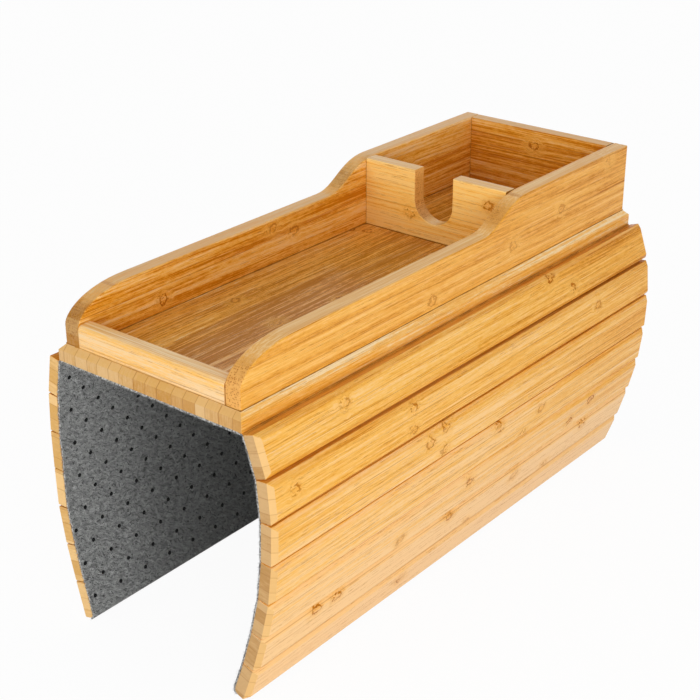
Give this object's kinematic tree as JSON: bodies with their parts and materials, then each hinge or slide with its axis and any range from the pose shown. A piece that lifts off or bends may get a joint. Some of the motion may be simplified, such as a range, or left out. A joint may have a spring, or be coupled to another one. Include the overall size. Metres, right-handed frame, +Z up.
{
  "type": "sofa tray table",
  "caption": "Bamboo tray that drapes over a sofa arm on felt-hinged slats and carries an open box with a long phone bay and a notched cup bay.",
  "frame": {"origin": "centre of the exposed felt face under the centre panel, which lies on the sofa arm", "axes": "+X to the right across the arm, +Y along the arm from the low phone end to the high cup end, +Z up"},
  "size_m": [0.1795, 0.4, 0.2324],
  "materials": {
    "bamboo_wall": "satin varnish",
    "bamboo_panel": "satin varnish",
    "bamboo_slat": "satin varnish",
    "beech_dowel": "matt",
    "grey_felt": "fuzzy needle felt"
  },
  "bodies": {
    "tray_top": {"centre_panel": "bamboo_panel", "felt_centre": "grey_felt", "side_wall_left": "bamboo_wall", "side_wall_right": "bamboo_wall", "front_wall": "bamboo_wall", "divider": "bamboo_wall", "rear_wall": "bamboo_wall", "dowel_front_left": "beech_dowel", "dowel_front_right": "beech_dowel", "dowel_divider_left_lower": "beech_dowel", "dowel_divider_left_upper": "beech_dowel", "dowel_divider_right_lower": "beech_dowel", "dowel_divider_right_upper": "beech_dowel", "dowel_rear_left_lower": "beech_dowel", "dowel_rear_left_upper": "beech_dowel", "dowel_rear_right_lower": "beech_dowel", "dowel_rear_right_upper": "beech_dowel"},
    "right_slat_1": {"slat_right_1": "bamboo_slat", "felt_right_1": "grey_felt"},
    "right_slat_2": {"slat_right_2": "bamboo_slat", "felt_right_2": "grey_felt"},
    "right_slat_3": {"slat_right_3": "bamboo_slat", "felt_right_3": "grey_felt"},
    "right_slat_4": {"slat_right_4": "bamboo_slat", "felt_right_4": "grey_felt"},
    "right_slat_5": {"slat_right_5": "bamboo_slat", "felt_right_5": "grey_felt"},
    "right_slat_6": {"slat_right_6": "bamboo_slat", "felt_right_6": "grey_felt"},
    "right_slat_7": {"slat_right_7": "bamboo_slat", "felt_right_7": "grey_felt"},
    "left_slat_1": {"slat_left_1": "bamboo_slat", "felt_left_1": "grey_felt"},
    "left_slat_2": {"slat_left_2": "bamboo_slat", "felt_left_2": "grey_felt"},
    "left_slat_3": {"slat_left_3": "bamboo_slat", "felt_left_3": "grey_felt"},
    "left_slat_4": {"slat_left_4": "bamboo_slat", "felt_left_4": "grey_felt"},
    "left_slat_5": {"slat_left_5": "bamboo_slat", "felt_left_5": "grey_felt"},
    "left_slat_6": {"slat_left_6": "bamboo_slat", "felt_left_6": "grey_felt"},
    "left_slat_7": {"slat_left_7": "bamboo_slat", "felt_left_7": "grey_felt"}
  },
  "joints": [
    {"name": "right_hinge_1", "type": "hinge", "parent": "tray_top", "child": "right_slat_1", "pos_m": [0.0709, 0, 0.00065], "axis": [0, 1, 0], "range_deg": [-71, 13]},
    {"name": "right_hinge_2", "type": "hinge", "parent": "right_slat_1", "child": "right_slat_2", "pos_m": [0.07904, 0, -0.02299], "axis": [0, 1, 0], "range_deg": [-13.6, 0.4]},
    {"name": "right_hinge_3", "type": "hinge", "parent": "right_slat_2", "child": "right_slat_3", "pos_m": [0.08139, 0, -0.04788], "axis": [0, 1, 0], "range_deg": [-7.4, 0.6]},
    {"name": "right_hinge_4", "type": "hinge", "parent": "right_slat_3", "child": "right_slat_4", "pos_m": [0.08052, 0, -0.07286], "axis": [0, 1, 0], "range_deg": [-4.8, 3.2]},
    {"name": "right_hinge_5", "type": "hinge", "parent": "right_slat_4", "child": "right_slat_5", "pos_m": [0.07756, 0, -0.09769], "axis": [0, 1, 0], "range_deg": [-6.8, 1.2]},
    {"name": "right_hinge_6", "type": "hinge", "parent": "right_slat_5", "child": "right_slat_6", "pos_m": [0.07168, 0, -0.12198], "axis": [0, 1, 0], "range_deg": [-3, 5]},
    {"name": "right_hinge_7", "type": "hinge", "parent": "right_slat_6", "child": "right_slat_7", "pos_m": [0.06454, 0, -0.14594], "axis": [0, 1, 0], "range_deg": [-3.1, 4.9]},
    {"name": "left_hinge_1", "type": "hinge", "parent": "tray_top", "child": "left_slat_1", "pos_m": [-0.0709, 0, 0.00065], "axis": [0, -1, 0], "range_deg": [-80, 4]},
    {"name": "left_hinge_2", "type": "hinge", "parent": "left_slat_1", "child": "left_slat_2", "pos_m": [-0.07524, 0, -0.02397], "axis": [0, -1, 0], "range_deg": [-6.6, 7.4]},
    {"name": "left_hinge_3", "type": "hinge", "parent": "left_slat_2", "child": "left_slat_3", "pos_m": [-0.07672, 0, -0.04893], "axis": [0, -1, 0], "range_deg": [-3.6, 4.4]},
    {"name": "left_hinge_4", "type": "hinge", "parent": "left_slat_3", "child": "left_slat_4", "pos_m": [-0.07664, 0, -0.07393], "axis": [0, -1, 0], "range_deg": [-1, 7]},
    {"name": "left_hinge_5", "type": "hinge", "parent": "left_slat_4", "child": "left_slat_5", "pos_m": [-0.07611, 0, -0.09892], "axis": [0, -1, 0], "range_deg": [-7.6, 0.4]},
    {"name": "left_hinge_6", "type": "hinge", "parent": "left_slat_5", "child": "left_slat_6", "pos_m": [-0.07229, 0, -0.12363], "axis": [0, -1, 0], "range_deg": [-4, 4]},
    {"name": "left_hinge_7", "type": "hinge", "parent": "left_slat_6", "child": "left_slat_7", "pos_m": [-0.06675, 0, -0.148], "axis": [0, -1, 0], "range_deg": [-1.3, 6.7]}
  ]
}
